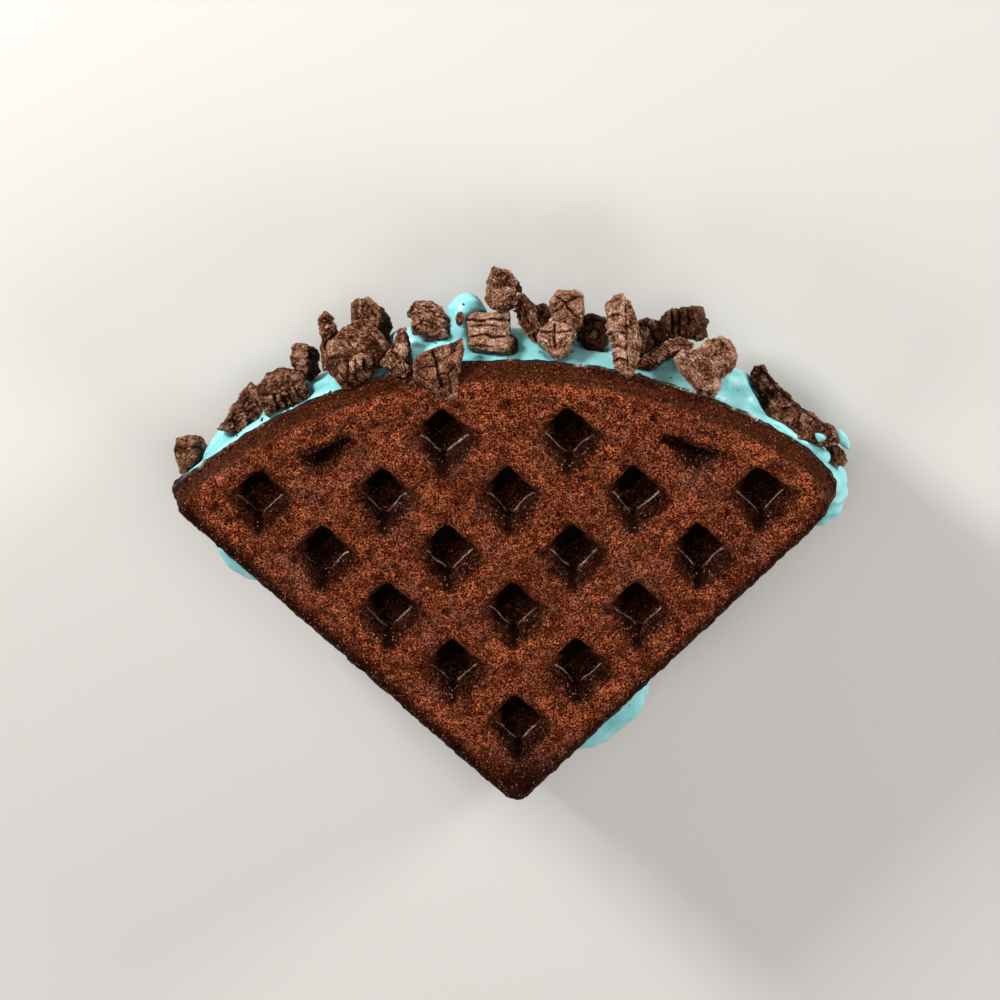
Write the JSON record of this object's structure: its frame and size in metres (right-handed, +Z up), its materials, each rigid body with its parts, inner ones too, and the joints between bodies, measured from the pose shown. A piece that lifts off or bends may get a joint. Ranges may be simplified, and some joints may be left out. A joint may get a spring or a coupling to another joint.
{
  "type": "waffle sandwich",
  "caption": "Quarter-round waffle sandwich: two wedge waffles with square pockets round a thick cream slab, broken biscuit pieces stuck along the round side, lying flat.",
  "frame": {"origin": "under the back waffle, on its flat underside, at the rib crossing between its second and third rows of pockets counted from the tip, on the middle line", "axes": "+X across the sandwich to the right as seen from above with the tip towards the viewer, +Y from the tip to the round side, +Z up out of the shown waffle"},
  "size_m": [0.1309, 0.1113, 0.0331],
  "materials": {
    "cocoa_waffle": null,
    "cream": null,
    "chocolate_biscuit": null
  },
  "bodies": {
    "root": {"waffle_front": "cocoa_waffle", "waffle_back": "cocoa_waffle", "filling": "cream", "biscuit_piece_01": "chocolate_biscuit", "biscuit_piece_02": "chocolate_biscuit", "biscuit_piece_03": "chocolate_biscuit", "biscuit_piece_04": "chocolate_biscuit", "biscuit_piece_05": "chocolate_biscuit", "biscuit_piece_06": "chocolate_biscuit", "biscuit_piece_07": "chocolate_biscuit", "biscuit_piece_08": "chocolate_biscuit", "biscuit_piece_09": "chocolate_biscuit", "biscuit_piece_10": "chocolate_biscuit", "biscuit_piece_11": "chocolate_biscuit", "biscuit_piece_12": "chocolate_biscuit", "biscuit_piece_13": "chocolate_biscuit", "biscuit_piece_14": "chocolate_biscuit", "biscuit_piece_15": "chocolate_biscuit", "biscuit_piece_16": "chocolate_biscuit", "biscuit_piece_17": "chocolate_biscuit", "biscuit_piece_18": "chocolate_biscuit", "biscuit_piece_19": "chocolate_biscuit", "biscuit_piece_20": "chocolate_biscuit", "biscuit_piece_21": "chocolate_biscuit", "biscuit_piece_22": "chocolate_biscuit", "biscuit_piece_23": "chocolate_biscuit", "biscuit_piece_24": "chocolate_biscuit", "biscuit_piece_25": "chocolate_biscuit"}
  },
  "joints": []
}
